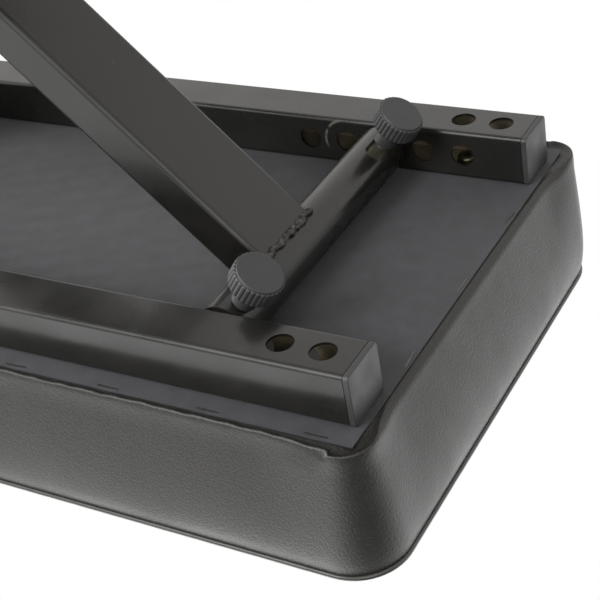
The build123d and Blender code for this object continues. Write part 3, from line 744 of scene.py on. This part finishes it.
# Crossbars: 28.6 mm round steel tube. Each leg's upper end is welded to one. The adjusting bar has a slot
# near each end for a plunger's stud to slide in, and the fixed bar has threaded plugs.
bar_radius, bar_wall = 14.3 * MM, 2 * MM
bar_low, bar_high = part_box("crossbar_b")
bpy.ops.object.select_all(action="DESELECT")
bpy.ops.mesh.primitive_cylinder_add(vertices=96, radius=bar_radius, depth=bar_high.y - bar_low.y,
                                    location=bar_middle, rotation=(pi / 2, 0, 0), end_fill_type="NOTHING")
adjusting_bar = name_piece("adjusting_crossbar", black_enamel)
modify(adjusting_bar, "SOLIDIFY", thickness=bar_wall, offset=-1.0)
choose(adjusting_bar, "EDGE", lambda e: all(abs(v.co.y) > bar_high.y - 0.1 * MM for v in e.verts)
       and (e.verts[0].co - e.verts[1].co).length < bar_wall * 0.9)
bpy.ops.mesh.bevel(offset=0.4 * MM, segments=2, affect="EDGES")
close(adjusting_bar)
fixed_bar = copy_piece(adjusting_bar, "fixed_crossbar", Matrix.Translation(pivot_middle - bar_middle))

stud_y = centre_of("plunger_stud_near").y
knob_turn = pi - radians(35)
slot_wide, slot_inboard = 11.5 * MM, 17.6 * MM
slot_long = slot_inboard + slot_wide / 2
knob_frames, bits = {}, []
for side in (1, -1):
    knob_frames[side] = (Matrix.Translation((bar_middle.x, side * stud_y, bar_middle.z))
                         @ Matrix.Rotation(knob_turn, 4, "Y"))
    bit = box("slot_bit", black_enamel, (slot_wide, slot_long, 2 * bar_radius),
              (0, side * (slot_wide - slot_long) / 2, bar_radius))
    round_edges(bit, slot_wide / 2 - 0.01 * MM, 12, lambda e: runs(e, "z") > bar_radius)
    bit.data.transform(knob_frames[side])
    bits.append(bit)
cut(adjusting_bar, bits)
for bar, node, body in ((adjusting_bar, "crossbar_b", "leg_b"), (fixed_bar, "crossbar_a", "leg_a")):
    close(bar, 35)
    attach(bar, body)
    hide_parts(node)

# Legs, their sleeves and the foot bars: rectangular and round steel tube, cut to fit round the bars and
# enamelled after welding.
paint(black_enamel, "leg_a_tube", "leg_a_sleeve", "foot_bar_a", "leg_b_tube", "leg_b_sleeve", "foot_bar_b")

# Welds: hand-laid fillet beads, one across each wide face and one round the outer side, enamelled over. They
# join each leg to its crossbar above and to its foot bar below.
weld_radius, weld_step, weld_turn, weld_depth = 2.1 * MM, 1.5 * MM, radians(7.4), 1.2 * MM
leg_half, leg_wide, leg_gap = 12.5 * MM, 50 * MM, 0.5 * MM
foot_middle = centre_of("foot_bar_b")
down_leg = (foot_middle - bar_middle).normalized()
across_leg = Vector((-down_leg.z, 0, down_leg.x))
meets = sqrt(bar_radius ** 2 - leg_half ** 2)
spots = []
for face in (1, -1):
    for i in range(int((leg_wide - 2 * MM) / weld_step) + 1):
        spots.append(bar_middle + down_leg * (meets + 0.9 * MM) + face * across_leg * (leg_half - 0.3 * MM)
                     + Vector((0, leg_gap + 1.2 * MM + i * weld_step, 0)))
for i in range(-8, 9):
    a = i * weld_turn
    spots.append(bar_middle + (down_leg * cos(a) + across_leg * sin(a)) * (bar_radius - 0.3 * MM)
                 + Vector((0, leg_gap + leg_wide, 0)))
bpy.ops.object.select_all(action="DESELECT")
bpy.ops.mesh.primitive_ico_sphere_add(subdivisions=2, radius=weld_radius)
drop = name_piece("weld_drop", black_enamel)
drops = []
for i, spot in enumerate(spots):
    size = 1 + 0.38 * wander(i * 0.0131, 12)
    shift = Vector((wander(i * 0.0193, 13), 0.6 * wander(i * 0.0157, 14), wander(i * 0.0183, 15))) * 1.1 * MM
    drops.append(copy_piece(drop, "drop", Matrix.Translation(spot + shift) @ Matrix.Scale(size, 4)))
    thrown = Vector((wander(i * 0.0211, 16), wander(i * 0.0171, 17), wander(i * 0.0227, 18))) * 2.6 * MM
    drops.append(copy_piece(drop, "drop", Matrix.Translation(spot + thrown) @ Matrix.Scale(0.55 * size, 4)))
bpy.data.objects.remove(drop)
weld_top = join_pieces("weld_top", drops)
modify(weld_top, "REMESH", mode="VOXEL", voxel_size=0.55 * MM)
modify(weld_top, "SMOOTH", factor=0.5, iterations=1)
# The beads fuse into the wall, and don't come through into the bore, where the plunger slides
for vertex in weld_top.data.vertices:
    out = vertex.co - bar_middle
    out.y = 0.0
    vertex.co += out.normalized() * max(0.0, bar_radius - weld_depth - out.length)
crossing = (bar_middle + foot_middle) / 2
half_turn = Matrix.Translation(crossing) @ Matrix.Rotation(pi, 4, "Y") @ Matrix.Translation(-crossing)
welds_b = join_pieces("leg_b_weld_beads", [weld_top, copy_piece(weld_top, "weld_foot", half_turn)])
about_middle = Matrix.Translation((2 * crossing.x, 0, 0)) @ Matrix.Rotation(pi, 4, "Z")
welds_a = copy_piece(welds_b, "leg_a_weld_beads", about_middle)
for welds, leg in ((welds_a, "leg_a"), (welds_b, "leg_b")):
    close(welds)
    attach(welds, leg)
    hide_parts(leg + "_welds")

# Plungers and springs: turned steel plungers, blackened in oil, and a coil of oiled spring wire behind each,
# which pushes it out towards the rail.

# Blackened steel: a deep brown-black oxide with turning marks, shinier where it rubs.
blackened, tree, shader, place = material("blackened_turned_steel", {"Metallic": 0.7, "Roughness": 0.42})
rubbed = add(tree, "TexNoise", {"Scale": 1 / (4 * MM), "Detail": 4.0}, {"Vector": place})
turning = add(tree, "TexWave", {"bands_direction": "Y", "Scale": 1 / (3.2 * MM), "Distortion": 0.6},
              {"Vector": place})
tint = add(tree, "Mix", {"data_type": "RGBA", 6: linear("3d3d35"), 7: linear("6d6b5b")},
           {0: rubbed.outputs["Fac"]})
bump = add(tree, "Bump", {"Strength": 0.2, "Distance": 0.03 * MM}, {"Height": turning.outputs["Fac"]})
link(shader, {"Base Color": tint.outputs[2], "Normal": bump.outputs[0]})
paint(blackened, "plunger_near", "plunger_far")

# Oiled spring wire: drawn and tempered, a dark straw-grey metal with a wet shine.
spring_wire = clouded("spring_wire_oiled", {"Metallic": 1.0, "Roughness": 0.22}, 3 * MM, 3.0,
                      ("6b6860", "8d8a84"))
pull, stop_y = 11 * MM, 25 * MM


def merged_copy(node, name, finish):
    """A copy of a CAD node in a new material with its faces joined into one skin, left open in edit mode."""
    made = copy_piece(nodes[node], name, Matrix.Identity(4))
    made.data.materials.clear()
    made.data.materials.append(finish)
    choose(made, "FACE", lambda f: True)
    bpy.ops.mesh.customdata_custom_splitnormals_clear()
    bpy.ops.mesh.remove_doubles(threshold=0.001 * MM)
    return made


for side, word in ((1, "near"), (-1, "far")):
    coil = merged_copy("spring_" + word, "coil_spring_" + word, spring_wire)
    close(coil, 50)
    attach(coil, "leg_b")
    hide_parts("spring_" + word)
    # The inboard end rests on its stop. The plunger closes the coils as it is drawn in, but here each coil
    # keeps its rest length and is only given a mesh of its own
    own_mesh(coil)

# Knobs: moulded ABS, screwed on to each plunger's stud. A plain neck, a fluted grip, and above a narrow
# groove a raised flat face with a rounded edge.
knob_profile = ((4.2, 14.7), (6.2, 14.6), (6.55, 14.75), (6.7, 15.1), (6.7, 26.9), (6.85, 27.4), (7.4, 27.7),
                (12.7, 27.7), (13.35, 27.95), (13.7, 28.5), (13.75, 29.0), (13.75, 33.0), (13.75, 36.7),
                (13.65, 37.4), (13.35, 37.8), (12.95, 37.95), (12.75, 37.9), (12.65, 38.0), (12.6, 38.3),
                (12.45, 38.7), (12.15, 39.0), (11.7, 39.12), (11.1, 39.1), (8.0, 39.05), (4.0, 39.15),
                (0.4, 39.19))
knob_flutes, flute_depth, flute_inside, points_per_flute = 32, 0.6 * MM, 13.2 * MM, 6


def turned(name, finish, profile, around):
    """A round piece about the Z axis, drawn up ring by ring through (radius, height) pairs in millimetres."""
    (radius, height), *rest = profile
    bpy.ops.object.select_all(action="DESELECT")
    bpy.ops.mesh.primitive_circle_add(vertices=around, radius=radius * MM, location=(0, 0, height * MM))
    piece = name_piece(name, finish)
    choose(piece, "VERT", lambda v: True)
    bpy.ops.mesh.edge_face_add()
    bpy.ops.mesh.select_all(action="SELECT")
    for next_radius, next_height in rest:
        grow, rise = next_radius / radius, (next_height - height) * MM
        bpy.ops.mesh.extrude_region_move(TRANSFORM_OT_translate={"value": (0, 0, rise)})
        bpy.ops.transform.resize(value=(grow, grow, 1), center_override=(0, 0, 0))
        radius, height = next_radius, next_height
    bpy.ops.mesh.select_all(action="SELECT")
    bpy.ops.mesh.normals_make_consistent(inside=False)
    close(piece)
    return piece


knob = turned("knob", black_abs, knob_profile, knob_flutes * points_per_flute)
for vertex in knob.data.vertices:
    from_axis = vertex.co.xy.length
    if from_axis > flute_inside:
        into_flute = max(0.0, cos(knob_flutes * vertex.co.xy.angle_signed(Vector((1, 0))))) ** 1.4
        vertex.co.xy *= 1 - flute_depth * into_flute / from_axis
for side, word in ((1, "near"), (-1, "far")):
    placed = copy_piece(knob, "plunger_grip_" + word, knob_frames[side])
    close(placed, 50)
    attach(placed, f"plunger_{word}_body")
    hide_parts("plunger_knob_" + word)
bpy.data.objects.remove(knob)

# Foot caps: black rubber, moulded with two grip grooves, cut to a flat sole and pushed over the ends of the
# foot bars. They hold by their own stretch.

# Moulded rubber: dull black with a fine bloom and mould grain.
black_rubber = clouded("black_rubber_moulded", {"Roughness": 0.7}, 8 * MM, 5.0, ("161616", "282726"),
                       matte=(0.6, 0.78), grain=(0.5 * MM, 3.0, 0.3, 0.06 * MM))

cap_length = 30.0
cap_profile = ((14.4, 26.0), (14.4, 0.7), (14.9, 0.1), (15.6, 0.0), (17.0, 0.0), (17.7, 0.35), (18.0, 1.1),
               (18.0, 5.8), (17.8, 6.2), (17.3, 6.4), (17.3, 7.6), (17.8, 7.8), (18.0, 8.2), (18.0, 10.8),
               (17.8, 11.2), (17.3, 11.4), (17.3, 12.6), (17.8, 12.8), (18.0, 13.2), (18.0, 27.4),
               (17.7, 28.7), (16.9, 29.6), (15.8, cap_length), (12.2, cap_length), (11.7, 29.8), (11.5, 29.3),
               (11.2, 29.2), (3.0, 29.2))
cap = turned("cap", black_rubber, cap_profile, 72)
for node, body in (("foot_caps_a", "leg_a"), ("foot_caps_b", "leg_b")):
    cap_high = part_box(node)[1]
    pair = []
    for side in (1, -1):
        inner = Vector((centre_of(node).x, side * (cap_high.y - cap_length * MM), foot_middle.z))
        laid = Matrix.Rotation(-side * pi / 2, 4, "X")
        pair.append(copy_piece(cap, "cap", Matrix.Translation(inner) @ laid))
    caps = join_pieces(node.replace("foot_caps", "rubber_feet"), pair)
    choose(caps, "FACE", lambda f: True)
    bpy.ops.mesh.bisect(plane_co=(0, 0, 0), plane_no=(0, 0, -1), use_fill=True, clear_outer=True)
    close(caps, 40)
    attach(caps, body)
    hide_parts(node)
bpy.data.objects.remove(cap)

# Pivot bolts, centre bolt and nut: zinc-plated hexagon fasteners, their edges eased by the cold heading. The
# pivot bolts go through the bushes into the fixed crossbar's plugs, and the centre bolt joins the legs.


def eased(node, name, finish, width):
    """A copy of a CAD node with its sharp edges rounded off."""
    made = merged_copy(node, name, finish)
    bpy.ops.mesh.dissolve_limited(angle_limit=radians(0.5))
    bpy.ops.mesh.select_all(action="DESELECT")
    bpy.ops.mesh.select_mode(type="EDGE")
    bpy.ops.mesh.edges_select_sharp(sharpness=radians(40))
    bpy.ops.mesh.bevel(offset=width, segments=2, affect="EDGES", clamp_overlap=True)
    close(made, 35)
    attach(made, nodes[node]["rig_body"])
    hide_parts(node)
    return made


for node, name in (("pivot_bolts", "hex_bolts_m8"), ("pivot_bolt_washers", "flat_washers_m8"),
                   ("centre_bolt", "hex_bolt_m10"), ("centre_nut", "lock_nut_m10"),
                   ("centre_washers", "flat_washers_m10")):
    eased(node, name, bright_zinc, 0.25 * MM)

# Camera, floor and lights. The camera looks at the underside of the adjusting end from below the floor, with
# the bench upside down in its picture. The floor is open to light and to the eye from below.
camera = bpy.data.objects.new("camera", bpy.data.cameras.new("camera"))
bpy.context.scene.collection.objects.link(camera)
camera.data.sensor_width, camera.data.lens, camera.data.clip_start = 36.0, 85.0, 0.01
look = Vector((-0.47333, -0.67603, 0.56475)).normalized()
right = Vector((0.86658, -0.47241, 0.16080)).normalized()
camera.matrix_world = Matrix((right, right.cross(look), -look)).transposed().to_4x4()
camera.location = Vector((520.8, 546.3, -38.0)) * MM
bpy.context.scene.camera = camera

bpy.ops.object.select_all(action="DESELECT")
bpy.ops.mesh.primitive_circle_add(vertices=96, radius=14.0, fill_type="NGON", location=(0, 0, 0))
floor = bpy.context.object
floor.name = "floor"
floor.visible_shadow = False
floor_paint, tree, shader, place = material("pale_floor", {"Base Color": linear("e6e4e0"), "Roughness": 0.6})
clear = add(tree, "BsdfTransparent")
below = add(tree, "NewGeometry")
mixed = add(tree, "MixShader", {},
            {0: below.outputs["Backfacing"], 1: shader.outputs[0], 2: clear.outputs[0]})
output = [n for n in tree.nodes if n.type == "OUTPUT_MATERIAL"][0]
link(output, {"Surface": mixed.outputs[0]})
floor.data.materials.append(floor_paint)

world = bpy.data.worlds.new("studio")
bpy.context.scene.world = world
world.use_nodes = True
tree = world.node_tree
backdrop = tree.nodes["Background"]
backdrop.inputs["Color"].default_value = linear("ffffff")
direction = add(tree, "TexCoord").outputs["Generated"]
height = add(tree, "SeparateXYZ", {}, {0: direction})
towards = add(tree, "VectorMath", {"operation": "DOT_PRODUCT", 1: (0.74, 0.54, 0.41)}, {0: direction})
# The sky brightens upwards, and is darker straight overhead and towards an open doorway
light = None
for value, start, end, low, high in ((height.outputs["Z"], -0.15, 0.72, 0.34, 1.9),
                                     (height.outputs["Z"], 0.7, 1.0, 1.0, 0.35),
                                     (towards.outputs["Value"], 0.48, 0.95, 1.0, 0.15)):
    share = add(tree, "MapRange", {"interpolation_type": "SMOOTHSTEP", "From Min": start, "From Max": end,
                                   "To Min": low, "To Max": high}, {"Value": value}).outputs[0]
    light = add(tree, "Math", {"operation": "MULTIPLY"}, {0: light, 1: share}).outputs[0] if light else share
seen = add(tree, "LightPath")
strength = add(tree, "Mix", {3: 1.0}, {0: seen.outputs["Is Camera Ray"], 2: light})
link(backdrop, {"Strength": strength.outputs[0]})


def softbox(name, place, aim, size, watts):
    """A square area light that isn't itself in the picture."""
    lamp = bpy.data.objects.new(name, bpy.data.lights.new(name, "AREA"))
    bpy.context.scene.collection.objects.link(lamp)
    lamp.data.size, lamp.data.energy = size, watts
    lamp.location = place
    lamp.rotation_euler = (Vector(aim) - Vector(place)).to_track_quat("-Z", "Y").to_euler()
    lamp.visible_camera = False


softbox("key", (-0.6, 0.5, 2.6), (0, 0, 0.3), 1.4, 14)
softbox("under", (-0.47, 1.37, -0.81), (0.1, 0, 0.4), 0.7, 28)
softbox("front", (1.04, 1.33, -0.47), (0.1, 0.05, 0.35), 0.4, 7)
softbox("side", (-2.0, 0.35, 0.03), (0.1, 0, 0.4), 0.8, 28)

bpy.context.scene.view_settings.view_transform = "Standard"
